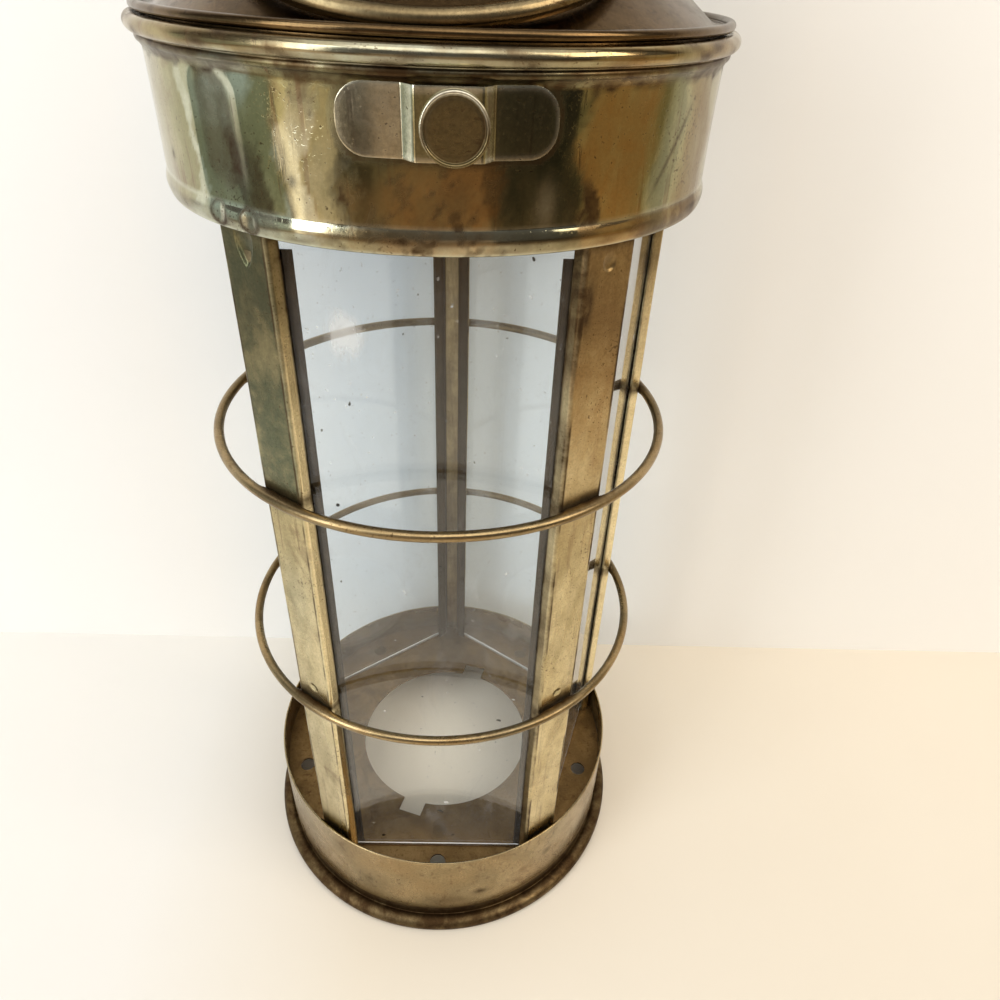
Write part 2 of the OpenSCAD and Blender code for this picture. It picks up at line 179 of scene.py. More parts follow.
def sheet_loop(path, thick):
    """Closed outline of a strip of sheet: the path moved half the thickness to each side, with round
    edges. The first point is the middle of the first edge."""
    along = np.gradient(path, axis=0)
    along /= np.hypot(along[:, 0], along[:, 1])[:, None]
    side = np.stack([along[:, 1], -along[:, 0]], -1)
    half = thick / 2
    path = path.copy()
    path[0] += along[0] * half
    path[-1] -= along[-1] * half
    turn = np.radians([60, 30, 0, -30, -60])[:, None]
    last = path[-1] + half * (np.cos(turn) * along[-1] + np.sin(turn) * side[-1])
    first = path[0] - half * (np.cos(turn) * along[0] + np.sin(turn) * side[0])
    loop = np.concatenate([path + side * half, last, (path - side * half)[::-1], first])
    return np.roll(loop, 3, axis=0)


def upright(loop, heights, bend=None):
    """A closed outline carried straight up through a row of heights, with both ends closed by pairing
    each point with the one across the sheet. bend moves the points in plan, from plan place and
    height."""
    count = len(loop)
    plan = np.broadcast_to(loop, (len(heights), count, 2))
    height = np.broadcast_to(np.asarray(heights)[:, None], (len(heights), count))
    if bend:
        plan = plan + bend(plan[..., 0], plan[..., 1], height)
    points = np.concatenate([plan, height[..., None]], -1)
    faces = grid_faces(len(heights), count, False, True)
    half = count // 2
    i = np.arange(1, half - 1)
    for start in (0, (len(heights) - 1) * count):
        across = np.stack([i, i + 1, count - i - 1, count - i], -1) + start
        faces += across.tolist()
        faces += [[start, start + 1, start + count - 1], [start + half, start + half - 1, start + half + 1]]
    return points, faces


def turned(points, angle):
    """Points turned about the lantern's axis."""
    c, s = math.cos(angle), math.sin(angle)
    spin = np.array([[c, s, 0], [-s, c, 0], [0, 0, 1]])
    return points @ spin


def corner_angle(i):
    """Direction of corner i: corner 1 is to the right of the front pane, and the rest follow round."""
    return -math.pi / 2 + HALF_TURN + (i - 1) * 2 * HALF_TURN


def corner_off(turn):
    """Turn away from the nearest corner."""
    return (turn - corner_angle(1) + HALF_TURN) % (2 * HALF_TURN) - HALF_TURN


def wrapped(angle):
    """The same angle between minus and plus half a turn."""
    return (angle + np.pi) % (2 * np.pi) - np.pi


def out_and_across(x, y, angle):
    """Way out from the axis along a direction, and way across it."""
    return x * math.cos(angle) + y * math.sin(angle), y * math.cos(angle) - x * math.sin(angle)


def side_angle(i):
    """Direction of side i: side 1 is the front pane."""
    return -math.pi / 2 + (i - 1) * 2 * HALF_TURN


# Waves in worked sheet: share, count round the axis, and millimetres of height for each radian
RIPPLES = ((1, 3, 23), (1, 5, -17), (0.7, 9, 11), (0.6, 14, -7), (0.4, 23, 6), (0.3, 31, -5))


def ripple(turn, height, size, seed):
    """Slow unevenness of hand-worked sheet: a sum of waves round the axis and up it, with fixed
    phases."""
    phases = np.random.default_rng(seed).uniform(0, 2 * np.pi, len(RIPPLES))
    wave = 0
    for (share, count, pitch), phase in zip(RIPPLES, phases):
        wave = wave + share * np.sin(count * turn + height / pitch + phase)
    return size * wave / 4


def dimple(distance, radius):
    """Depth of a round dent, one in its middle and falling smoothly to nothing at its edge."""
    share = np.clip(distance / radius, 0, 1)
    return (1 - share ** 2) ** 2


def punch(across, rise, wide, tall):
    """Depth of a mark struck from above: half an ellipsoid that deepens towards its lower edge."""
    share = (across / wide) ** 2 + (rise / tall) ** 2
    return np.sqrt(np.clip(1 - share, 0, 1)) * np.clip(0.5 - 0.5 * rise / tall, 0, 1)


def bell(value, middle, spread):
    """One at the middle, falling off on both sides as a bell curve."""
    return np.exp(-((value - middle) / spread) ** 2)


def plateau(value, low, high, soft):
    """One between two limits, with soft slopes outside them."""
    return np.clip(1 + (value - low) / soft, 0, 1) * np.clip(1 + (high - value) / soft, 0, 1)


def rising(value, start, run):
    """Nothing up to a start, growing evenly to one over a run."""
    return np.clip((value - start) / run, 0, 1)


def falling(value, end, run):
    """Nothing past an end, growing evenly to one over a run before it."""
    return np.clip((end - value) / run, 0, 1)


def patchy(first, second, seed):
    """Slow uneven value between nothing and one from two coordinates: a sum of crossing waves."""
    phase = np.random.default_rng(seed).uniform(0, 2 * np.pi, 6)
    wave = np.sin(first * 1.0 + phase[0]) * np.sin(second * 0.8 + phase[1])
    wave += 0.7 * np.sin(first * 2.3 - second * 1.1 + phase[2]) * np.sin(second * 2.1 + phase[3])
    wave += 0.5 * np.sin(first * 4.7 + phase[4]) * np.sin(second * 4.1 + first + phase[5])
    return np.clip(0.5 + 0.4 * wave, 0, 1)


# Shader helpers

def add(tree, kind, sockets=None, **settings):
    """Adds a shader node with its settings, and gives its sockets values or other nodes' outputs."""
    made = tree.nodes.new("ShaderNode" + kind)
    for key, value in settings.items():
        setattr(made, key, value)
    for key, value in (sockets or {}).items():
        if isinstance(value, bpy.types.NodeSocket):
            tree.links.new(value, made.inputs[key])
        else:
            made.inputs[key].default_value = value
    return made


def place(tree, scale=(1, 1, 1), shift=(0, 0, 0)):
    """Object coordinates, stretched and moved."""
    coordinates = add(tree, "TexCoord")
    return add(tree, "Mapping", {"Vector": coordinates.outputs["Object"], "Scale": scale,
                                 "Location": shift}).outputs["Vector"]


def noise(tree, vector, scale, detail, rough, twist=0.0):
    """Cloudy noise of a given number of features per metre."""
    return add(tree, "TexNoise", {"Vector": vector, "Scale": scale, "Detail": detail, "Roughness": rough,
                                  "Distortion": twist}).outputs["Fac"]


def ramp(tree, factor, *stops):
    """Colour or grey by factor, through stops of a place and a value."""
    made = add(tree, "ValToRGB", {"Fac": factor})
    while len(made.color_ramp.elements) < len(stops):
        made.color_ramp.elements.new(0.5)
    for element, (at, value) in zip(made.color_ramp.elements, stops):
        element.position = at
        element.color = (*value, 1) if isinstance(value, tuple) else (value, value, value, 1)
    return made.outputs["Color"]


def mixed(tree, factor, first, second, blend="MIX"):
    """Two colours mixed by a factor."""
    first = (*first, 1) if isinstance(first, tuple) else first
    second = (*second, 1) if isinstance(second, tuple) else second
    return add(tree, "Mix", {0: factor, 6: first, 7: second}, data_type="RGBA", blend_type=blend).outputs[2]


def sums(tree, operation, first, second):
    """Arithmetic on two factors."""
    return add(tree, "Math", {0: first, 1: second}, operation=operation).outputs[0]


def times(tree, first, second):
    """Product of two factors."""
    return sums(tree, "MULTIPLY", first, second)


def plus(tree, base, extra, share):
    """A factor with a share of another one added."""
    return sums(tree, "ADD", base, times(tree, extra, share))


def length(tree, vector):
    """Length of a vector."""
    return add(tree, "VectorMath", {0: vector}, operation="LENGTH").outputs["Value"]


def carried(tree, name, output="Fac"):
    """A value that the mesh itself carries under a name."""
    return add(tree, "Attribute", attribute_name=name, attribute_type="GEOMETRY").outputs[output]


def layered(tree, share, under, over):
    """One shader over another, by a share."""
    return add(tree, "MixShader", {0: share, 1: under.outputs[0], 2: over.outputs[0]})


def bumped(tree, height, strength, distance, under=None):
    """Surface relief from a height, over another relief."""
    sockets = {"Height": height, "Strength": strength, "Distance": distance}
    if under is not None:
        sockets["Normal"] = under
    return add(tree, "Bump", sockets).outputs["Normal"]


def new_material(name):
    """A material with an empty node tree, and its tree."""
    made = bpy.data.materials.new(name)
    made.use_nodes = True
    made.node_tree.nodes.clear()
    return made, made.node_tree


# Colour of dirt and of painted shade
GRIME_AND_SHADE = (0.06, 0.034, 0.015)
GREEN = (0.115, 0.125, 0.07)
COPPER = (0.42, 0.265, 0.105)


def aged_brass(name, gold, olive, brown, bright, streak, rough, wave, seed, speck=0.655, grit=0.16):
    """Old brass: gold that clouds over to olive along its drawing direction, brown stains, fine
    scratches, clusters of dark specks, and the piece's own painted dirt and painted shade, green tarnish
    and painted reflection, copper tint and painted reflection, and bright metal and painted highlights,
    each broken up by noise, on a slightly uneven sheet."""
    material, tree = new_material(name + "_brass")
    shift = (seed, seed * 0.7, seed * 1.3)
    plain = place(tree, shift=shift)
    cloud = noise(tree, plain, 20, 6, 0.62, 0.8)
    mottle = noise(tree, plain, 150, 7, 0.68, 0.4)
    stain = noise(tree, plain, 46, 8, 0.7, 1.2)
    cluster = noise(tree, plain, 36, 3, 0.5)
    grain = noise(tree, plain, 1300, 3, 0.6)
    along = place(tree, streak, shift)
    drawn = noise(tree, along, 60, 5, 0.68, 0.3)
    scratch = noise(tree, along, 520, 3, 0.6, 0.2)
    clouded = ramp(tree, cloud, (0.40, 0.0), (0.62, 1.0))
    mottled = ramp(tree, mottle, (0.40, 0.0), (0.66, 1.0))
    streaked = ramp(tree, drawn, (0.42, 0.0), (0.66, 1.0))
    stained = ramp(tree, stain, (0.54, 0.0), (0.70, 1.0))
    scored = times(tree, ramp(tree, scratch, (0.58, 0.0), (0.67, 1.0)), times(tree, stain, 1.2))
    specked = ramp(tree, plus(tree, grain, cluster, 0.35), (speck + 0.17, 0.0), (speck + 0.22, 1.0))
    wear_and_light = add(tree, "SeparateColor", {"Color": carried(tree, "wear_and_light", "Color")})
    break_up = ramp(tree, plus(tree, times(tree, mottle, 0.6), stain, 0.4), (0.36, 0.62), (0.56, 1.0))
    grime_and_shade, green, copper = [times(tree, wear_and_light.outputs[tone], break_up) for tone in ("Red", "Green", "Blue")]
    bare_and_highlight = times(tree, carried(tree, "bare_and_highlight"), ramp(tree, mottle, (0.30, 1.0), (0.70, 0.55)))
    dull = plus(tree, plus(tree, times(tree, clouded, 0.55), mottled, 0.30), streaked, 0.75)
    colour = mixed(tree, dull, gold, olive)
    layers = ((times(tree, stained, 0.7), brown), (scored, brown), (copper, COPPER), (green, GREEN),
              (bare_and_highlight, bright), (grime_and_shade, GRIME_AND_SHADE), (times(tree, specked, 0.75), GRIME_AND_SHADE))
    for share, over in layers:
        colour = mixed(tree, share, colour, over)
    colour = mixed(tree, 1.0, colour, ramp(tree, grain, (0.32, 1 - grit), (0.68, 1 + grit)), "MULTIPLY")
    spread = rough[1] - rough[0]
    polish = plus(tree, times(tree, dull, spread * 0.6), stained, spread * 0.5)
    polish = sums(tree, "ADD", plus(tree, polish, grime_and_shade, 0.30), rough[0])
    relief = bumped(tree, noise(tree, plain, 34, 2, 0.5), wave, 0.0012)
    relief = bumped(tree, sums(tree, "SUBTRACT", drawn, times(tree, scored, 0.5)), 0.08, 0.0003, relief)
    relief = bumped(tree, sums(tree, "SUBTRACT", mottle, specked), 0.10, 0.0002, relief)
    shader = add(tree, "BsdfPrincipled", {"Base Color": colour, "Metallic": 1.0, "Roughness": polish,
                                          "Normal": relief})
    add(tree, "OutputMaterial", {"Surface": shader.outputs[0]})
    return material


def hazy_glass(name):
    """Old clear pane: faintly blue glass that lets lamps through, with a thin film of dust that settles
    towards the floor, cloudy smears, small specks, one white smudge on the front pane, and ground upper
    and lower edges and side edges painted dark as shade, which the piece's own face attributes mark."""
    material, tree = new_material(name)
    plain = place(tree)
    film = noise(tree, plain, 22, 5, 0.6, 0.8)
    smear = noise(tree, place(tree, (1, 1, 0.35)), 60, 6, 0.65, 1.5)
    dust = noise(tree, plain, 620, 2, 0.5)
    fleck = noise(tree, plain, 260, 2, 0.4)
    haze = ramp(tree, film, (0.40, 0.0), (0.75, 0.014))
    specks = ((smear, 0.58, 0.80, 0.09), (dust, 0.70, 0.76, 0.25), (fleck, 0.78, 0.80, 0.5))
    for dirt, low, high, share in specks:
        haze = plus(tree, haze, ramp(tree, dirt, (low, 0.0), (high, 1.0)), share)
    rise = add(tree, "SeparateXYZ", {0: place(tree, (1, 1, 5))}).outputs["Z"]
    settled = ramp(tree, rise, (0.16, 0.022), (0.62, 0.0))
    haze = plus(tree, haze, settled, ramp(tree, smear, (0.35, 0.6), (0.65, 1.2)))
    smudge = place(tree, (150, 150, 110), (2.95, 8.9, -28.9))
    ragged = sums(tree, "SUBTRACT", times(tree, smear, 1.6), length(tree, smudge))
    haze = sums(tree, "ADD", haze, ramp(tree, ragged, (0.05, 0.0), (0.45, 0.34)))
    haze = sums(tree, "MAXIMUM", haze, carried(tree, "ground_edge"))
    clear = add(tree, "BsdfPrincipled", {"Base Color": (0.93, 0.96, 0.98, 1), "Roughness": 0.015,
                                         "IOR": 1.5, "Transmission Weight": 1.0})
    dusty = add(tree, "BsdfDiffuse", {"Color": (0.90, 0.90, 0.89, 1)})
    soot_and_shade = noise(tree, place(tree, shift=(0.4, 0.9, 0.2)), 240, 1, 0.3)
    # Dark flecks, and painted shade on the side faces that the pane marks
    soot_and_shade = sums(tree, "MAXIMUM", ramp(tree, soot_and_shade, (0.815, 0.0), (0.83, 0.9)), carried(tree, "painted_shade_side"))
    dark = add(tree, "BsdfDiffuse", {"Color": (0.03, 0.022, 0.015, 1)})
    dirty_and_shaded = layered(tree, soot_and_shade, layered(tree, haze, clear, dusty), dark)
    through = add(tree, "BsdfTransparent", {"Color": (0.93, 0.93, 0.92, 1)})
    shadow = add(tree, "LightPath").outputs["Is Shadow Ray"]
    add(tree, "OutputMaterial", {"Surface": layered(tree, shadow, dirty_and_shaded, through).outputs[0]})
    return material


UPRIGHT_GRAIN = (1, 1, 0.06)
ROUND_GRAIN = (0.6, 0.6, 1.6)
BROWN = (0.17, 0.105, 0.05)
collar_brass = aged_brass("collar", (0.47, 0.425, 0.235), (0.27, 0.255, 0.13), (0.19, 0.11, 0.055),
                          (0.58, 0.60, 0.48), UPRIGHT_GRAIN, (0.05, 0.17), wave=0.6, seed=1.7, speck=0.635,
                          grit=0.07)
post_brass = aged_brass("post", (0.66, 0.545, 0.29), (0.365, 0.30, 0.152), BROWN, (0.88, 0.78, 0.51),
                        UPRIGHT_GRAIN, (0.18, 0.38), wave=0.2, seed=3.1, speck=0.632)
base_brass = aged_brass("base", (0.41, 0.318, 0.165), (0.265, 0.205, 0.102), (0.13, 0.075, 0.033),
                        (0.54, 0.46, 0.31), (0.8, 0.8, 0.5), (0.18, 0.40), wave=0.2, seed=5.3)
lid_brass = aged_brass("lid", (0.145, 0.092, 0.041), (0.09, 0.056, 0.025), (0.06, 0.034, 0.015),
                       (0.46, 0.38, 0.22), ROUND_GRAIN, (0.16, 0.36), wave=0.3, seed=7.9)
wire_brass = aged_brass("wire", (0.31, 0.235, 0.125), (0.18, 0.135, 0.07), (0.10, 0.056, 0.025),
                        (0.58, 0.47, 0.28), ROUND_GRAIN, (0.20, 0.40), wave=0.1, seed=2.3, speck=0.645)
# Strip brass darkened nearly to black: tarnish, and painted shade for the shade the strips stand in behind
# the panes
strip_brass = aged_brass("strip", (0.085, 0.058, 0.031), (0.05, 0.034, 0.018), (0.03, 0.018, 0.009),
                         (0.62, 0.50, 0.29), UPRIGHT_GRAIN, (0.30, 0.55), wave=0.15, seed=4.4)
floor_brass = aged_brass("floor", (0.285, 0.18, 0.077), (0.17, 0.104, 0.042), (0.09, 0.05, 0.021),
                         (0.40, 0.33, 0.20), (1, 1, 1), (0.40, 0.60), wave=0.2, seed=6.2)
strap_brass = aged_brass("strap", (0.46, 0.41, 0.23), (0.28, 0.255, 0.13), (0.18, 0.11, 0.055),
                         (0.82, 0.79, 0.63), UPRIGHT_GRAIN, (0.10, 0.26), wave=0.2, seed=8.6)
disc_brass = aged_brass("disc", (0.27, 0.21, 0.105), (0.18, 0.14, 0.065), (0.11, 0.07, 0.035),
                        (0.80, 0.76, 0.62), ROUND_GRAIN, (0.18, 0.36), wave=0.15, seed=9.4)
pane_glass = hazy_glass("pane_glass")


# Pieces of the lantern

def front_turn(x, y):
    """Turn about the axis in degrees, nothing at the front and growing towards the right."""
    return np.degrees(np.arctan2(x, -y))


# Dark blots on the base: turn, height, half width in degrees, half height and share of grime
BASE_BLOTS = (
    (14, 21, 2.4, 1.6, 0.9), (38, 29, 1.6, 2.2, 0.6), (-22, 24, 1.2, 1.8, 0.6), (4, 17, 9, 3.5, 0.35),
    (-75, 26, 3, 4, 0.5), (120, 20, 4, 3, 0.6), (-140, 28, 3, 5, 0.5), (165, 15, 6, 3, 0.5))


def base_wear_and_shade(x, y, z):
    """Wear and painted shade of the base: dirt and painted shade in the groove above the foot bead, dirt on
    the bead, painted shade inside the wall, a rubbed bright rim, and a few dark blots."""
    out = np.hypot(x, y)
    turn = front_turn(x, y)
    swing = np.radians(turn)
    inside = plateau(out, 0, BASE_R - 0.55, 0.25)
    on_bead = plateau(out, BASE_R + 0.6, FAR, 0.6)
    # Dirt and painted shade in the groove above the foot bead
    grime_and_shade = 1.5 * plateau(z, 4.4, 9.6, 2.0) * plateau(out, 0, BASE_R + 1.4, 0.8)
    grime_and_shade += (0.9 + 0.5 * patchy(swing * 6, z / 2, 62)) * on_bead
    # Painted shade inside the wall, deepening below the lip
    grime_and_shade += 0.8 * inside * falling(z, BASE_H - 1.5, 9)
    for at, height, wide, tall, share in BASE_BLOTS:
        grime_and_shade += share * bell(turn, at, wide) * bell(z, height, tall) * (1 - inside)
    grime_and_shade += 0.7 * plateau(turn, 30, 80, 12) * bell(z, 9, 3) * (1 - inside)
    copper = 0.5 * patchy(swing * 4, z / 14, 61) + 0.25 * inside
    bare_and_highlight = 0.3 * plateau(z, BASE_H - 0.5, FAR, 0.5)
    return grime_and_shade, 0.25 * inside, copper, bare_and_highlight


def base_wall():
    """Revolved wall with a round lip above, a rolled bead at the foot, flat where it stands, a groove
    above the bead, and solder inside behind each post."""
    groove_z, groove_deep = 7.2, 0.45
    solder_half_w, solder_deep = 7.6, 1.5
    bead = (BASE_R + FOOT_REACH, FOOT_BEAD_R - FOOT_FLAT)
    flat = math.degrees(math.asin(bead[1] / FOOT_BEAD_R))
    inner = BASE_R - SHEET
    profile = np.concatenate([
        arc(bead, FOOT_BEAD_R, 180 + flat - 360, 128, 40),
        line((BASE_R, bead[1] + 2.9), (BASE_R, BASE_H - SHEET / 2), 48),
        arc((BASE_R - SHEET / 2, BASE_H - SHEET / 2), SHEET / 2, 0, 180, 7),
        line((inner, BASE_H - SHEET / 2 - 0.6), (inner, bead[1] + 1.2), 32),
        arc(bead, FOOT_BEAD_R, 172, 180 + flat, 8)])
    profile[:, 1] = np.clip(profile[:, 1], 0, None)

    def bend(turn, z, radius):
        """Waves, less the groove and the solder."""
        wave = ripple(turn, z, 0.16, 11) * rising(z, 6, 12) - groove_deep * bell(z, groove_z, 1.9)
        near = np.exp(-np.abs(corner_off(turn) * BASE_R / solder_half_w) ** 6) * (radius < BASE_R - 0.5)
        return wave - solder_deep * near * plateau(z, FLOOR_Z - 2, BASE_H - 1.3, 0.7)

    points, faces = revolve(profile, 432, bend)
    piece("base_wall", points, faces, "lantern", ["base_band"], base_brass, base_wear_and_shade)


def post_wear_and_light(i):
    """Wear and painted light of post i from its own plan and height: painted highlights along the folds,
    side walls painted bright below and dark above as reflections, dirt and painted shadow at the rings,
    painted shade under the collar, along the creases and inside the channel, green in the struck marks,
    and darker metal towards the top."""
    angle = corner_angle(i)
    dark_reflection_z, dark_z, copper_z, green_z = 246, 225, 190, 203

    def wear_and_light(x, y, z):
        """The four shares at points of the post."""
        u, v = out_and_across(x, y, angle)
        aside = np.abs(v)
        outside = plateau(u, POST_R - 0.75, FAR, 0.4)
        walls = plateau(aside, POST_W / 2 - 0.35, FAR, 0.2) * plateau(u, 0, FOLD_U + 0.2, 0.5)
        inside = 1 - np.clip(outside + walls + plateau(aside, FOLD_V + 0.6, FAR, 0.2), 0, 1)
        ragged = patchy(z / 9, v / 3, 70 + i)
        # Where a painted highlight runs along each round fold, and painted shade in the crease beside it
        fold = bell(aside, POST_W / 2 - 0.5, 0.4) * plateau(u, FOLD_U + 0.2, FAR, 0.4)
        crease = bell(aside, FOLD_V + 0.1, 0.3) * plateau(u, FOLD_U + 0.5, FAR, 0.3)
        crease *= np.clip(2 * ragged - 0.3, 0, 1)
        edge = bell(u, WALL_END + 0.2, 0.5) * walls
        # Painted shade along the crease, inside the channel and under the collar, and darker at the wall
        # ends
        grime_and_shade = 1.2 * crease + 0.6 * edge + 0.7 * inside + 0.45 * bell(z, COLLAR_Z, 1.6)
        # Solder dirt and painted shadow just below each ring
        for ring in (LOW_RING_Z, HIGH_RING_Z):
            grime_and_shade += 0.9 * bell(z, ring + 1.0 + 0.5 * np.sin(v), 2.1)
        # Side walls painted darker towards the top as a dark reflection
        dark_reflection = rising(z, dark_reflection_z, 24)
        grime_and_shade += 0.5 * walls * dark_reflection * (0.5 + ragged) + 0.2 * rising(z, dark_z, 40) * outside
        green = 0.95 * bell(np.hypot(v, z - LOW_STAKE_Z), 0, 1.2)
        green += 0.35 * bell(np.hypot(v, z - HIGH_STAKE_Z), 0, 1.4)
        copper = (0.15 + 0.7 * rising(z, copper_z, 60)) * outside + 0.3 * walls
        clean = plateau(z, 62, 180, 20) * outside * (0.35 + 0.65 * ragged)
        # Painted highlight along the folds, side walls painted bright below as a reflection, and brighter
        # at mid height
        bare_and_highlight = 0.5 * fold * (0.6 + 0.4 * ragged) + 0.9 * walls * (1 - dark_reflection) + 0.5 * clean
        if i == FRONT_LEFT:
            green += rising(z, green_z, 14) * outside * (0.8 + 0.4 * ragged)
            green += 0.5 * bell(z, 172, 12) * bell(v, -2, 5) * outside
            copper *= 0.15
        if i == FRONT_RIGHT:
            grime_and_shade += 0.7 * bell(v, -5.6, 1.5) * bell(z, 273, 6) * outside
            # Front right post: darker towards the top, and its walls and fold painted darker, dimming their
            # painted reflection
            grime_and_shade += 0.3 * rising(z, 240, 25) * outside + 0.5 * (walls + fold) * (0.5 + ragged)
            # Painted highlight on the front right post's web above the upper ring
            bare_and_highlight += 0.45 * bell(z, HIGH_RING_Z + 8.5, 22) * outside * (0.4 + 0.6 * ragged)
            bare_and_highlight -= 0.35 * walls * (1 - dark_reflection)
        return grime_and_shade, green, copper, bare_and_highlight

    return wear_and_light


def post_sheet(i):
    """Channel post: a centre line of side wall, round fold, web, fold and side wall given the sheet's
    thickness and carried up the corner, with struck marks and the slight bow of thin sheet."""
    middle = POST_W / 2 - SHEET / 2
    half = np.concatenate([line((WALL_END, middle), (FOLD_U, middle), 11),
                           arc((FOLD_U, FOLD_V), POST_BEND - SHEET / 2, 90, 0, 8)])
    web = line((POST_R - SHEET / 2, FOLD_V), (POST_R - SHEET / 2, -FOLD_V), 48)[1:]
    path = np.concatenate([half, web, half[::-1] * [1, -1]])
    loop = sheet_loop(path, SHEET)
    low_deep, low_r, high_deep, high_r, high_h = 0.45, 2.0, 0.8, 2.0, 2.4
    fine = np.arange(-5.5, 5.6, 0.3)
    heights = np.unique(np.r_[np.linspace(FLOOR_Z, POST_TOP, 130), LOW_STAKE_Z + fine, HIGH_STAKE_Z + fine]
                        .clip(FLOOR_Z, POST_TOP).round(3))
    phase = np.random.default_rng(40 + i).uniform(0, 2 * np.pi, 4)

    def bend(x, y, z):
        """Struck marks, and a bow and a sway that fade at both ends."""
        on_web = plateau(np.abs(y), 0, FOLD_V, 0.5)
        bow = 0.10 * np.sin(z / 21 + phase[0]) + 0.07 * np.sin(z / 9.5 + phase[1])
        sway = 0.08 * np.sin(z / 17 + phase[2]) + 0.05 * np.sin(z / 7 + phase[3])
        mark = low_deep * dimple(np.hypot(y, z - LOW_STAKE_Z), low_r)
        if i == FRONT_LEFT:
            wide = 2.6 - 0.25 * (HIGH_STAKE_Z - z)
            mark += 1.3 * punch(y - 0.4, z - HIGH_STAKE_Z - 0.8, wide, 5.0)
        else:
            mark += high_deep * punch(y, z - HIGH_STAKE_Z, high_r, high_h)
        fade = rising(z, FLOOR_Z, 10) * falling(z, POST_TOP - 14, 10)
        return np.stack([-mark * on_web - 0.1 + bow * fade * np.cos(y / 6) * 0.8, sway * fade], -1)

    points, faces = upright(loop, heights, bend)
    piece(f"post_sheet_{i}", turned(points, corner_angle(i)), faces, "lantern",
          [f"corner_post_{i}"], post_brass, post_wear_and_light(i))


def hat_strip(i):
    """Hat-section strip behind the panes: trough against the web, flange behind each pane, carried up."""
    mid_flange = STRIP_OUT - SHEET / 2
    mid_trough = POST_R - 1.5 * SHEET
    wide = TROUGH_W / 2 - SHEET / 2
    end = (mid_flange * COS + STRIP_S * SIN, mid_flange * SIN - STRIP_S * COS)
    root = ((mid_flange - wide * SIN) / COS, wide)
    half = [end, root, (mid_trough, wide)]
    path = bent_path(half + [(x, -y) for x, y in half[::-1]], 0.7, 0.28)
    points, faces = upright(sheet_loop(path, SHEET), np.linspace(FLOOR_Z, STRIP_TOP, 40))
    angle = corner_angle(i)

    def wear_and_light(x, y, z):
        """Painted shade in both slits, and a trough painted bright as lit and less tarnished metal."""
        u, v = out_and_across(x, y, angle)
        bottom = plateau(u, mid_trough - 0.7, FAR, 0.3) * plateau(np.abs(v), 0, wide - 0.9, 0.4)
        slit = plateau(np.abs(v), wide - 0.6, wide + 0.7, 0.2)
        # Painted shade in the slits and a painted lit trough
        return 0.9 * slit, 0, 0, 0.9 * bottom * (0.6 + 0.4 * patchy(z / 12, v, 80 + i))

    piece(f"hat_strip_{i}", turned(points, angle), faces, "lantern",
          [f"retaining_strip_{i}"], strip_brass, wear_and_light)


def pane(i):
    """Flat pane: a rectangle with chamfered edges, as a ring of eight points carried up in four steps."""
    chamfer = 0.65
    corners = [(GLASS_IN, -GLASS_S), (GLASS_OUT, -GLASS_S), (GLASS_OUT, GLASS_S), (GLASS_IN, GLASS_S)]
    shrink = np.array([[0, 1], [1, 0], [-1, 0], [0, 1], [0, -1], [-1, 0], [1, 0], [0, -1]]) * chamfer
    ring = np.repeat(corners, 2, axis=0) + shrink
    inward = np.repeat([[1, 1], [-1, 1], [-1, -1], [1, -1]], 2, axis=0) * chamfer / 2
    levels = [(FLOOR_Z, 1), (FLOOR_Z + chamfer, 0), (PANE_TOP - chamfer, 0), (PANE_TOP, 1)]
    plan = np.stack([ring + inward * share for _, share in levels])
    height = np.broadcast_to(np.array([z for z, _ in levels])[:, None, None], (4, 8, 1))
    points = np.concatenate([plan, height], -1)
    faces = grid_faces(4, 8, False, True) + [list(range(8)), list(range(24, 32))]
    made = piece(f"pane_{i}", turned(points, side_angle(i)), faces, "lantern",
                 [f"glass_pane_{i}"], pane_glass, smooth=False)
    count = len(made.data.polygons)
    middle, normal = np.empty(count * 3), np.empty(count * 3)
    made.data.polygons.foreach_get("center", middle)
    made.data.polygons.foreach_get("normal", normal)
    rise = middle[2::3] / MM
    facing, _ = out_and_across(normal[0::3], normal[1::3], side_angle(i))
    level = (rise < FLOOR_Z + chamfer) | (rise > PANE_TOP - chamfer)
    # Side faces that meet the posts are marked to be painted dark as shade
    for name, marked in (("ground_edge", level), ("painted_shade_side", ~level & (np.abs(facing) < 0.9))):
        marks = made.data.attributes.new(name, "FLOAT", "FACE")
        marks.data.foreach_set("value", marked.astype(float))


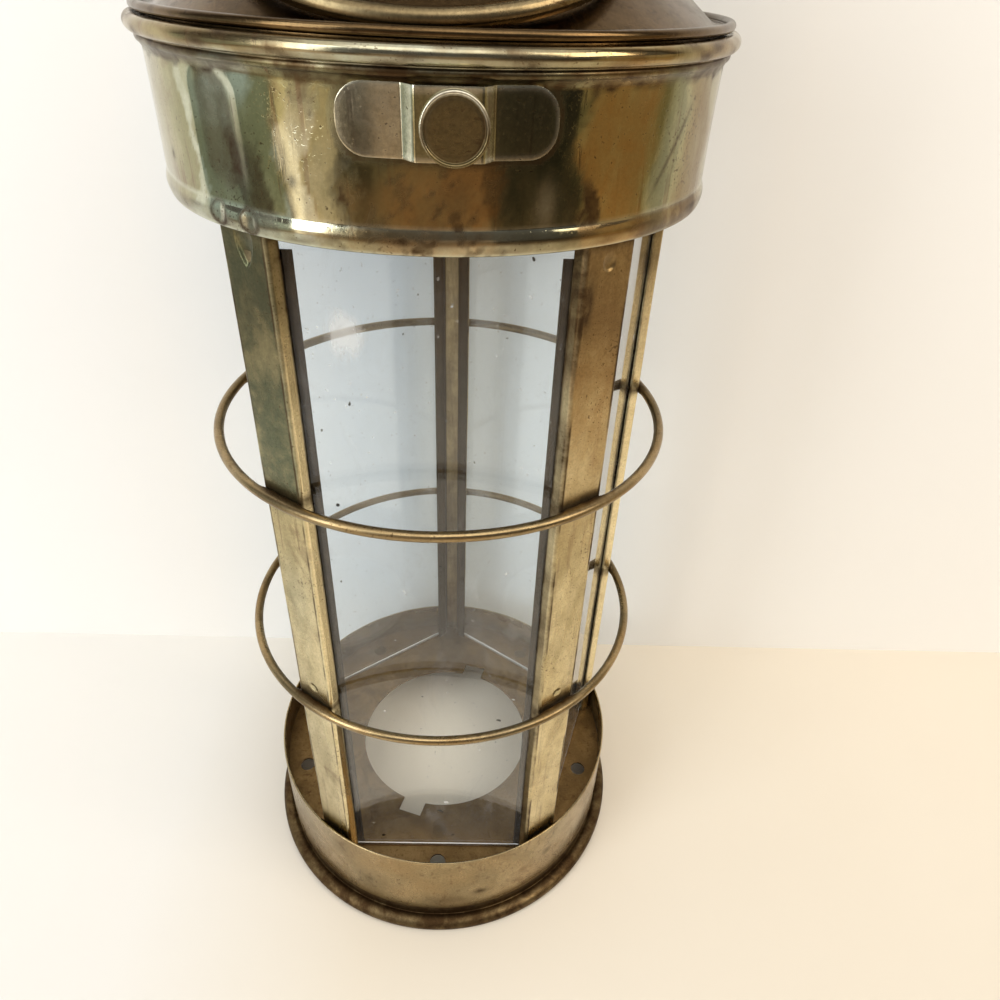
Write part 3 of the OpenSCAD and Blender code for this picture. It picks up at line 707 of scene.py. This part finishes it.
def guard_wire(name, node, z):
    """Ring of round wire: a circle carried round the axis, drawn inwards and thickened by solder where it
    meets each post."""
    count, around = 720, 20
    solder_half_l, drawn_in, thicker = 8.2, 0.75, 0.45
    turn = np.arange(count)[:, None] * 2 * np.pi / count
    ring = np.arange(around)[None, :] * 2 * np.pi / around
    uneven = 0.75 + 0.5 * patchy(turn * 40, ring, 90)
    solder = np.exp(-np.abs(corner_off(turn) * RING_R / solder_half_l) ** 6) * uneven
    inward = np.clip(-np.cos(ring), 0, 1) * solder
    radius = RING_R + WIRE_R * np.cos(ring) - drawn_in * inward + 0.12 * np.sin(3 * turn + z)
    height = z + WIRE_R * np.sin(ring) * (1 + thicker * inward) + 0.25 * np.sin(2 * turn + z)
    points = np.stack([radius * np.cos(turn), radius * np.sin(turn), height], -1)

    def wear_and_light(x, y, height):
        """Dirt and painted shade inside, below and at the posts, copper patches and a rubbed bright
        outside.
        """
        turn = np.arctan2(y, x)
        near = np.exp(-np.abs(corner_off(turn) * RING_R / 9) ** 4)
        inner = plateau(np.hypot(x, y), 0, RING_R - 0.4, 0.8)
        under = plateau(height, 0, z - 0.9, 0.7)
        # Painted shade on the inner side, the underside and at the posts, with solder dirt at the posts
        grime_and_shade = 0.75 * near * inner + 0.25 * near + 0.25 * under
        grime_and_shade += 0.4 * patchy(turn * 9, height, 91) * inner
        copper = 0.5 * patchy(turn * 5, height / 3, 92)
        return grime_and_shade, 0, copper, 0.35 * patchy(turn * 7, height / 2, 93) * (1 - inner)

    piece(name, points, grid_faces(count, around, True, True), "lantern", [node],
          wire_brass, wear_and_light)


# Arched hollow pressed into the collar's front left: turn in degrees, height where its arch begins, half
# width, height of the arch and depth
PRESSED_TURN, PRESSED_Z, PRESSED_HALF_W, PRESSED_ARCH, PRESSED_DEEP = -36.5, 314.4, 8.4, 6.2, 0.75
# Height above the collar's lower edge from which the lid's skirt is close to its inside
SKIRT_RISE = 19.5
# Dents in the hem: their radius, then for each the way across from the front left corner, height and depth
HEM_DENT_R = 2.9
HEM_DENTS = ((-4.4, 290.1, 0.5), (5.6, 289.8, 0.55))
# Bands that are partly tarnish and partly painted reflections, with painted highlights in the bright share:
# turn, height, half width in degrees, half height, then shares of dirt and painted shade, green, copper and
# bright metal
COLLAR_BANDS = (
    (-37, 314, 7.5, 6, 0, 0.2, 0, 0.6), (-37, 299, 6.5, 9, 0, 0.3, 0, 0.2),
    (-44.5, 303, 1.3, 15, 0, 0, 0, 0.7), (-33, 319, 4.5, 4, 0, 0, 0, 0.9),
    (-30.5, 298, 4.2, 10, 0.7, 0.9, 0, 0), (-20.3, 301, 2.6, 13, 0, 0, 0.2, 0.95),
    (-14.5, 300, 2.6, 10, 0.05, 0.2, 0, 0.3), (-12, 301, 1.7, 6, 0.35, 0.5, 0, 0),
    (-8, 296, 4, 6, 0.2, 0, 0.5, 0), (3, 297, 8, 9, 0.15, 0, 0.85, 0), (8, 302, 4, 8, 0.1, 0, 0.8, 0),
    (19.5, 305, 7.5, 17, 0.1, 0.9, 0, 0), (34, 305, 7.6, 19, 0.1, 0, 1, 0),
    (28.3, 296, 1.8, 5, 1, 0, 0, 0), (4, 297, 3, 5, 0.3, 0, 0, 0), (47, 305, 3.5, 18, 0.05, 0.5, 0, 0),
    (58, 305, 6, 18, 0.35, 0.1, 0.6, 0), (-62, 305, 9, 18, 0.05, 0, 0.25, 0.35),
    (-19, 318, 2.5, 4, 0.8, 0, 0, 0), (-2, 319, 4, 2.5, 0.6, 0, 0, 0), (12, 319, 5, 2, 0.55, 0, 0, 0),
    (92, 304, 9, 17, 0, 0.6, 0, 0.1), (112, 305, 6, 18, 0.1, 0, 0.7, 0), (130, 300, 8, 14, 0, 0.7, 0, 0),
    (152, 308, 5, 12, 0, 0, 0.2, 0.6), (170, 302, 7, 16, 0.15, 0, 0.7, 0),
    (-95, 303, 7, 16, 0, 0.55, 0, 0), (-112, 306, 6, 16, 0, 0, 0.6, 0.2),
    (-133, 303, 8, 18, 0.05, 0.7, 0, 0), (-158, 304, 7, 14, 0, 0, 0.3, 0.5))
# Specks: turn, height and size
COLLAR_SPECKS = (
    (-24, 311, 0.9), (-21.5, 300, 0.8), (-13, 297.5, 0.6), (-11.5, 292, 0.7), (6, 293, 0.7),
    (-3, 290.5, 0.8), (-17, 313, 0.6), (28, 318, 0.8), (62, 319, 0.9), (-55, 299, 0.8))


def strap_edge(turn, z):
    """Distance inside the strap's round-cornered outline, from the turn in degrees and the height."""
    across = np.abs(np.radians(turn) - STRAP_TURN) * STRAP_R - (STRAP_L / 2 + 0.4 - STRAP_CORNER)
    rise = np.abs(z - STRAP_Z) - (STRAP_H / 2 - STRAP_CORNER)
    outside = np.hypot(np.clip(across, 0, None), np.clip(rise, 0, None))
    return STRAP_CORNER - outside - np.clip(np.maximum(across, rise), None, 0)


def strap_wear_and_light(x, y, z):
    """Wear and painted light of the strap: an edge all round, rubbed bright and painted as a highlight, a
    left tab painted bright as a reflection with copper on it, painted highlights on the left step and the
    upper edge of the raised middle, a darker right step, and green on the right tab."""
    turn = front_turn(x, y)
    across = (np.radians(turn) - STRAP_TURN) * STRAP_R
    edge = bell(strap_edge(turn, z), 0.35, 0.55)
    grime_and_shade = 0.1 * patchy(across, z / 4, 57) + 0.4 * plateau(across, 6.6, 8.6, 0.3)
    copper = 0.4 * plateau(across, -14, -10.5, 1.5)
    # Edge rubbed bright with a painted highlight, and a painted highlight on the left step
    bare_and_highlight = edge + 0.8 * plateau(across, -8.8, -6.6, 0.3)
    # Left tab painted bright as a reflection
    bare_and_highlight += 0.95 * plateau(across, -FAR, -9.4, 1.0) * (0.6 + 0.4 * patchy(across / 3, z / 5, 58))
    # Painted highlight along the upper edge of the raised middle
    bare_and_highlight += 0.9 * plateau(across, -6.4, 5, 0.6) * bell(z, STRAP_Z + STRAP_H / 2 - 0.5, 0.8)
    return grime_and_shade, 0.6 * plateau(across, 10, FAR, 2), copper, bare_and_highlight


def collar_wear_and_light(x, y, z):
    """Wear and painted light of the collar: upright bands of green, copper and bright metal that are partly
    tarnish and partly painted reflections, one gold blot, a slanting run, mottled patina in front, dirt
    under the beads, dirt and painted shadow round the strap, painted shade round the dents and painted
    highlights in them, dark specks, painted highlights on the beads and the hem, copper on the hem with a
    painted warm reflection in its front, and painted highlight lines along the hem's edges."""
    turn = front_turn(x, y)
    swing = np.radians(turn)
    weave = 1.6 * np.sin(z / 5 + turn / 9) + 0.8 * np.sin(z / 2.3 + turn / 4)
    weave += 2.2 * (patchy(turn * 0.9, z / 1.7, 53) - 0.5)
    shares = np.zeros((4, len(z)))
    for at, height, wide, tall, *share in COLLAR_BANDS:
        off = (turn - at + weave * 0.8 + 180) % 360 - 180
        mask = np.exp(-np.abs(off / wide) ** 7 - np.abs((z - height) / tall) ** 4)
        shares += np.array(share)[:, None] * mask * (0.75 + 0.5 * patchy(swing * 45, z / 5, 52))
    grime_and_shade, green, copper, bare_and_highlight = shares
    gold_blot = bell(turn, 20.5, 1.7) * bell(z, 297, 4)
    green *= 1 - 0.9 * gold_blot
    bare_and_highlight += 0.9 * gold_blot
    run_turn, run_z, run_slant = 48.5, 305.5, 0.55
    run = turn - run_turn - (z - run_z) * run_slant
    grime_and_shade += 0.75 * np.exp(-(run / 0.6) ** 2 - np.abs((z - run_z) / 8) ** 4)
    under = COLLAR_TOP - 2 * BEAD_R - 2 * UNDER_BEAD_R
    on_bead = plateau(z, under + 1.4, FAR, 0.5)
    ragged = patchy(swing * 9, z / 3, 51)
    lower = under - 0.6 - 2.4 * patchy(swing * 14, 0, 54) ** 2
    grime_and_shade += (0.5 + 0.5 * ragged) * plateau(z, lower, under + 1.4, 0.9)
    grime_and_shade += (0.1 + 0.9 * ragged ** 2) * on_bead
    copper += (0.35 + 0.4 * ragged) * on_bead
    # Painted highlight on the front of the beads
    bare_and_highlight += 0.7 * bell(turn, 0, 20) * on_bead
    hem = plateau(z, 0, COLLAR_Z + HEM_H, 0.5)
    # Painted highlights on the hem, and copper on it that in front is a painted warm reflection
    bare_and_highlight += (0.9 * bell(turn, -34, 14) + 0.5 * bell(turn, 8, 14)) * hem
    copper += (0.9 * bell(turn, 4, 18) + 0.6 * plateau(turn, 30, 62, 8)) * hem
    grime_and_shade += 0.5 * plateau(turn, 42, 62, 5) * hem
    grime_and_shade += 0.55 * ragged * plateau(z, COLLAR_Z + 1.0, COLLAR_Z + 3.4, 0.7)
    # Painted highlight lines along the hem's upper and lower edges
    bare_and_highlight += 0.55 * bell(z, COLLAR_Z + HEM_H + 0.1, 0.5) + 0.5 * bell(z, COLLAR_Z + 0.2, 0.35)
    across = wrapped(swing - corner_angle(FRONT_LEFT) - math.pi / 2) * COLLAR_R
    # Painted shade round each dent and a painted highlight in it
    for at, height, _ in HEM_DENTS:
        away = np.hypot(across - at, z - height)
        grime_and_shade += 0.8 * bell(away, HEM_DENT_R - 0.3, 0.55)
        bare_and_highlight += 0.9 * bell(away, 0, 1.6)
    grime_and_shade += 0.6 * plateau(np.hypot(x, y), 0, COLLAR_IN + 0.15, 0.2)
    # Dirt and painted shadow round the strap
    grime_and_shade += 0.75 * plateau(strap_edge(turn, z), -1.3, 0.2, 0.5)
    blotch = patchy(swing * 30, z / 1.6, 55) * patchy(swing * 47, z / 2.9, 56)
    patina = plateau(turn, -13, 12, 4) * plateau(z, COLLAR_Z, 303, 4) * plateau(blotch, 0.45, FAR, 0.2)
    grime_and_shade += 0.45 * patina
    for at, height, size in COLLAR_SPECKS:
        grime_and_shade += 0.8 * bell(turn, at, size) * bell(z, height, size * 1.4)
    return shares


def collar_band():
    """Revolved band with a swollen hem below and a double bead above, uneven as worked sheet is, with a
    pressed hollow of a flat fourth-power profile, and dents in the hem, above the front left post."""
    bead_in = COLLAR_IN + BEAD_STEP
    top_bead = (bead_in + BEAD_R, COLLAR_TOP - BEAD_R)
    under_bead = (bead_in + UNDER_BEAD_R, COLLAR_TOP - 2 * BEAD_R - UNDER_BEAD_R)
    swell = np.linspace(0, 1, 15)
    hem = np.stack([COLLAR_R + HEM_BELLY * np.sin(np.pi * swell),
                    COLLAR_Z + 0.2 + (HEM_H - 0.2) * swell], -1)
    profile = np.concatenate([
        hem, line((COLLAR_R, COLLAR_Z + HEM_H + 0.3), (COLLAR_R, under_bead[1] - 1.3), 34),
        arc(under_bead, UNDER_BEAD_R, -70, 60, 10),
        arc(top_bead, BEAD_R, -62, 178, 26),
        line((COLLAR_IN, top_bead[1]), (COLLAR_IN, COLLAR_Z + 0.3), 30),
        [(COLLAR_IN + 0.2, COLLAR_Z), (COLLAR_R - 0.1, COLLAR_Z)]])

    def bend(turn, z, radius):
        """Waves, less the dents and the pressed hollow."""
        out = ripple(turn, z, 0.34, 21) * rising(z, COLLAR_Z, 3) * falling(z, under_bead[1] + 1, 4)
        off = wrapped(turn - corner_angle(FRONT_LEFT)) * COLLAR_R
        for across, at, deep in HEM_DENTS:
            out -= deep * dimple(np.hypot(off - across, z - at), HEM_DENT_R)
        aside = wrapped(turn - math.radians(PRESSED_TURN - 90)) * COLLAR_R
        share = np.hypot(aside / PRESSED_HALF_W, np.clip(z - PRESSED_Z, 0, None) / PRESSED_ARCH)
        pressed = (1 - np.clip(share, 0, 1) ** 4) ** 2 * rising(z, COLLAR_Z + 4, 9)
        beside_skirt = rising(z, COLLAR_Z + SKIRT_RISE, 4) * (radius < COLLAR_IN + 0.1)
        return out - PRESSED_DEEP * pressed * (1 - beside_skirt)

    points, faces = revolve(profile, 720, bend)
    piece("collar_band", points, faces, "lantern", ["collar"], collar_brass, collar_wear_and_light)


def strap_sheet():
    """Omega strap: a plan path of two arcs on the collar and a raised flat between them, times a height
    that rounds off towards both ends, given the sheet's thickness."""
    mid = STRAP_R + SHEET / 2
    wide, face = POCKET_W / 2, POCKET_FACE_W / 2
    end = math.asin(STRAP_L / 2 / mid)
    near = math.asin(wide / mid)
    right = arc((0, 0), mid, -90 + math.degrees(near), -90 + math.degrees(end), 40)
    left = right[::-1] * [-1, 1]
    flat = STRAP_FACE - SHEET / 2
    path = bent_path(np.concatenate([left, [(-face, -flat), (face, -flat)], right]), 0.7, 0.25)
    past = np.clip(np.abs(path[:, 0]) - (STRAP_L / 2 - STRAP_CORNER), 0, STRAP_CORNER)
    half = STRAP_H / 2 - STRAP_CORNER + np.sqrt(np.clip(STRAP_CORNER ** 2 - past ** 2, 0, None))
    rows = 25
    height = STRAP_Z + half[:, None] * np.linspace(-1, 1, rows)
    plan = np.broadcast_to(path[:, None, :], (len(path), rows, 2))
    points = turned(np.concatenate([plan, height[..., None]], -1), STRAP_TURN)
    made = piece("strap_sheet", points, grid_faces(len(path), rows), "lantern",
                 ["collar_strap"], strap_brass, strap_wear_and_light)
    thick = made.modifiers.new("thickness", "SOLIDIFY")
    thick.thickness = SHEET * MM
    thick.offset = 0
    edge = made.modifiers.new("soft_edges", "BEVEL")
    edge.width = 0.36 * MM
    edge.segments = 4
    edge.limit_method = "ANGLE"
    edge.angle_limit = math.radians(50)


def disc_wear_and_light(x, y, z):
    """Wear and painted light of the disc: a rim painted bright as a highlight, most of all above, and
    darker round the flat face.
    """
    across = (np.radians(front_turn(x, y)) - STRAP_TURN) * STRAP_FACE - DISC_SHIFT
    rise = z - STRAP_Z + DISC_DROP
    away = np.hypot(across, rise)
    rim = plateau(away, DISC_R - DISC_RIM, FAR, 0.2)
    grime_and_shade = 0.7 * bell(away, DISC_R - DISC_RIM - 0.6, 0.4) + 0.2 * patchy(across, z, 59)
    # Rim painted bright as a highlight, strongest above
    return grime_and_shade, 0, 0, rim * np.clip(0.35 + 0.9 * rise / DISC_R - 0.25 * across / DISC_R, 0, 1)


def disc_plate():
    """Plain disc with a rounded rim round a shallow flat face, revolved and laid on the strap."""
    inner, face = DISC_R - DISC_RIM, DISC_T - DISC_RECESS
    profile = np.concatenate([
        [(0, 0)], line((0.5, 0), (DISC_R - 0.3, 0), 6), arc((DISC_R - 0.3, 0.3), 0.3, -90, 0, 4),
        arc((DISC_R - 0.4, DISC_T - 0.4), 0.4, 0, 180, 12),
        arc((inner - 0.3, face + 0.05), 0.15, 0, -90, 3), line((inner - 0.5, face), (0.3, face), 10),
        [(0, face)]])
    points, faces = revolve(profile, 96)
    laid = np.stack([points[..., 0], -points[..., 2], points[..., 1]], -1)
    laid += [DISC_SHIFT, -STRAP_FACE - 0.1, STRAP_Z - DISC_DROP]
    piece("disc_plate", turned(laid, STRAP_TURN), faces, "lantern", ["strap_disc"],
          disc_brass, disc_wear_and_light)


def roof_z(radius):
    """Height of the roof's upper face at a distance from the axis."""
    return LID_TOP + (ROOF_R - radius) * ROOF_RISE


def lid_shell():
    """Revolved roof in one sheet: rolled edge, flat rim, cone and upright neck, slightly uneven up to a
    height near the neck."""
    even_z = 352
    drop = SHEET / math.cos(math.atan(ROOF_RISE))
    edge = (LID_R - LID_EDGE_R, LID_Z + LID_EDGE_R)
    outer = bent_path([(edge[0], LID_TOP), (ROOF_R, LID_TOP), (NECK_R, roof_z(NECK_R)),
                       (NECK_R, roof_z(NECK_R) + NECK_H)], 1.2, 0.6)
    inner_r = NECK_R - SHEET
    inner = bent_path([(inner_r, roof_z(NECK_R) + NECK_H), (inner_r, roof_z(inner_r) - drop),
                       (ROOF_R - 0.3, LID_Z), (edge[0], LID_Z)], 1.0, 0.8)
    profile = np.concatenate([arc(edge, LID_EDGE_R, -88, 195, 22), outer[2:], inner[:-1]])

    def bend(turn, z, radius):
        """Waves on the cone."""
        return ripple(turn, z, 0.18, 31) * rising(z, LID_TOP, 4) * falling(z, even_z, 6)

    points, faces = revolve(profile, 288, bend)
    piece("lid_shell", points, faces, "lid", ["lid_roof"], lid_brass)


base_wall()
for number in range(1, SIDES + 1):
    post_sheet(number)
    hat_strip(number)
    pane(number)
guard_wire("lower_wire", "lower_guard_ring", LOW_RING_Z)
guard_wire("upper_wire", "upper_guard_ring", HIGH_RING_Z)
collar_band()
strap_sheet()
disc_plate()
lid_shell()

for name, material in (("floor_plate", floor_brass), ("bail", wire_brass), ("lid_skirt", lid_brass),
                       ("vent_chimney", lid_brass), ("smoke_cap", lid_brass), ("bail_ear_left", lid_brass),
                       ("bail_ear_right", lid_brass)):
    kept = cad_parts[name]
    kept.data.materials.clear()
    kept.data.materials.append(material)


# Stage, light and camera

def table_material():
    """Pale cream table with a faint unevenness, painted whiter on the left as cool light falling there and
    brighter under the lantern as light through its floor hole, and painted darker farther away as the dim
    of the room."""
    material, tree = new_material("cream_table")
    cloud = noise(tree, place(tree), 3, 3, 0.5)
    cream = ramp(tree, cloud, (0.3, (0.79, 0.715, 0.60)), (0.7, (0.82, 0.755, 0.65)))
    away = length(tree, place(tree, (1, 1, 0)))
    # Painted light: whiter on the left
    aside = add(tree, "SeparateXYZ", {0: place(tree, shift=(0.5, 0, 0))}).outputs["X"]
    white = ramp(tree, aside, (0.37, 1.0), (0.47, 0.0))
    cream = mixed(tree, white, cream, (0.83, 0.81, 0.775))
    # Painted pool of light under the lantern
    under = ramp(tree, away, (0.052, 1.0), (0.076, 0.0))
    cream = mixed(tree, under, cream, (0.95, 0.87, 0.735))
    # Painted dimming farther away
    dim = ramp(tree, away, (0.50, 0.0), (0.88, 1.0))
    colour = mixed(tree, dim, cream, (0.30, 0.21, 0.13))
    shader = add(tree, "BsdfPrincipled", {"Base Color": colour, "Roughness": 0.45})
    add(tree, "OutputMaterial", {"Surface": shader.outputs[0]})
    return material


def wall_material():
    """White wall, painted cooler close behind the lantern as the shade it casts there, and painted darker
    high above it and far from it as the dim of the room, that only shows from the front, so that it hides
    nothing from behind."""
    material, tree = new_material("white_wall")
    # Painted cool shade close behind the lantern
    aside = length(tree, place(tree, (1, 0, 0.15)))
    white = ramp(tree, aside, (0.05, (0.86, 0.92, 0.975)), (0.14, (0.96, 0.95, 0.93)))
    # Painted dimming high up and far away
    away = length(tree, place(tree, (0.5, 0, 1)))
    colour = mixed(tree, ramp(tree, away, (0.42, 0.0), (0.75, 1.0)), white, (0.18, 0.16, 0.14))
    shader = add(tree, "BsdfDiffuse", {"Color": colour})
    behind = add(tree, "NewGeometry").outputs["Backfacing"]
    both = layered(tree, behind, shader, add(tree, "BsdfTransparent"))
    add(tree, "OutputMaterial", {"Surface": both.outputs[0]})
    return material


WALL_Y, REACH = 0.0885, 3


def stage_sheet(name, first, last, material):
    """One flat sheet of the stage, from the depth and height in metres of its first and last edge."""
    mesh = bpy.data.meshes.new(name)
    corners = [(-REACH, *first), (REACH, *first), (REACH, *last), (-REACH, *last)]
    mesh.from_pydata(corners, [], [[0, 1, 2, 3]])
    made = bpy.data.objects.new(name, mesh)
    scene.collection.objects.link(made)
    made.data.materials.append(material)


stage_sheet("table", (-REACH, 0), (REACH, 0), table_material())
stage_sheet("wall", (WALL_Y, 0), (WALL_Y, REACH), wall_material())


def stand(made, right, up, back, at):
    """Sets an object's three axes and its place, and links it to the scene."""
    pose = np.eye(4)
    pose[:3, :3] = np.stack([right, up, back], -1)
    pose[:3, 3] = at
    made.matrix_world = Matrix(pose.tolist())
    scene.collection.objects.link(made)


def soft_lamp(name, at, aim, size, watts, colour):
    """A rectangular soft lamp at a point, turned to face another point."""
    data = bpy.data.lights.new(name, "AREA")
    data.shape = "RECTANGLE"
    data.size, data.size_y = size
    data.energy = watts
    data.color = colour
    made = bpy.data.objects.new(name, data)
    back = np.subtract(at, aim)
    back /= np.linalg.norm(back)
    right = np.cross((0, 0, 1), back)
    right /= np.linalg.norm(right)
    stand(made, right, np.cross(back, right), back, at)
    made.visible_camera = False
    made.visible_transmission = False


soft_lamp("lamp_right", (0.80, -0.45, 0.85), (0, 0, 0.15), (0.5, 0.6), 4.7, (1.0, 0.90, 0.76))
soft_lamp("lamp_left", (-0.7, -0.65, 0.60), (0, 0, 0.15), (0.4, 0.8), 5.2, (0.92, 0.97, 1.0))
soft_lamp("lamp_top", (0.0, -0.40, 1.30), (0, 0, 0.1), (1.6, 1.2), 7.3, (1.0, 0.98, 0.95))
soft_lamp("lamp_front", (0.05, -0.60, 0.95), (0, 0, 0.05), (0.8, 0.5), 1.7, (1.0, 0.95, 0.87))
soft_lamp("card_front", (0, -0.75, 0.16), (0, 0, 0.16), (0.56, 0.32), 0.13, (1.0, 0.72, 0.46))
soft_lamp("strip_left", (-0.84, -0.12, 0.23), (0, 0, 0.23), (0.72, 0.36), 0.35, (0.84, 1.0, 0.95))
soft_lamp("strip_peach", (-0.60, -0.58, 0.22), (0, 0, 0.22), (0.34, 0.44), 0.38, (1.0, 0.81, 0.60))
soft_lamp("strip_bright", (-0.66, -0.50, 0.22), (0, 0, 0.22), (0.07, 0.44), 0.08, (1.0, 0.85, 0.64))
soft_lamp("strip_amber", (0.83, -0.18, 0.22), (0, 0, 0.22), (0.62, 0.44), 0.29, (1.0, 0.76, 0.36))

world = bpy.data.worlds.new("dim_room")
world.use_nodes = True
world.node_tree.nodes["Background"].inputs["Color"].default_value = (0.15, 0.14, 0.13, 1)
scene.world = world

# Camera fitted to the lantern's edges: place, angles, and focal length and picture width in pixels
CAMERA_AT = (0.01334, -0.23370, 0.33978)
YAW, PITCH, ROLL = math.radians(1.958), math.radians(35.854), math.radians(2.638)
FOCAL, PICTURE_W, SENSOR = 756.3, 1000, 36
forward = np.array([math.sin(YAW) * math.cos(PITCH), math.cos(YAW) * math.cos(PITCH), -math.sin(PITCH)])
level = np.array([math.cos(YAW), -math.sin(YAW), 0])
lift = np.cross(level, forward)
right = math.cos(ROLL) * level + math.sin(ROLL) * lift
up = -math.sin(ROLL) * level + math.cos(ROLL) * lift
lens = bpy.data.cameras.new("camera")
lens.sensor_width = SENSOR
lens.lens = SENSOR * FOCAL / PICTURE_W
lens.clip_start = 0.01
camera = bpy.data.objects.new("camera", lens)
stand(camera, right, up, -forward, CAMERA_AT)
scene.camera = camera
scene.view_settings.view_transform = "Standard"
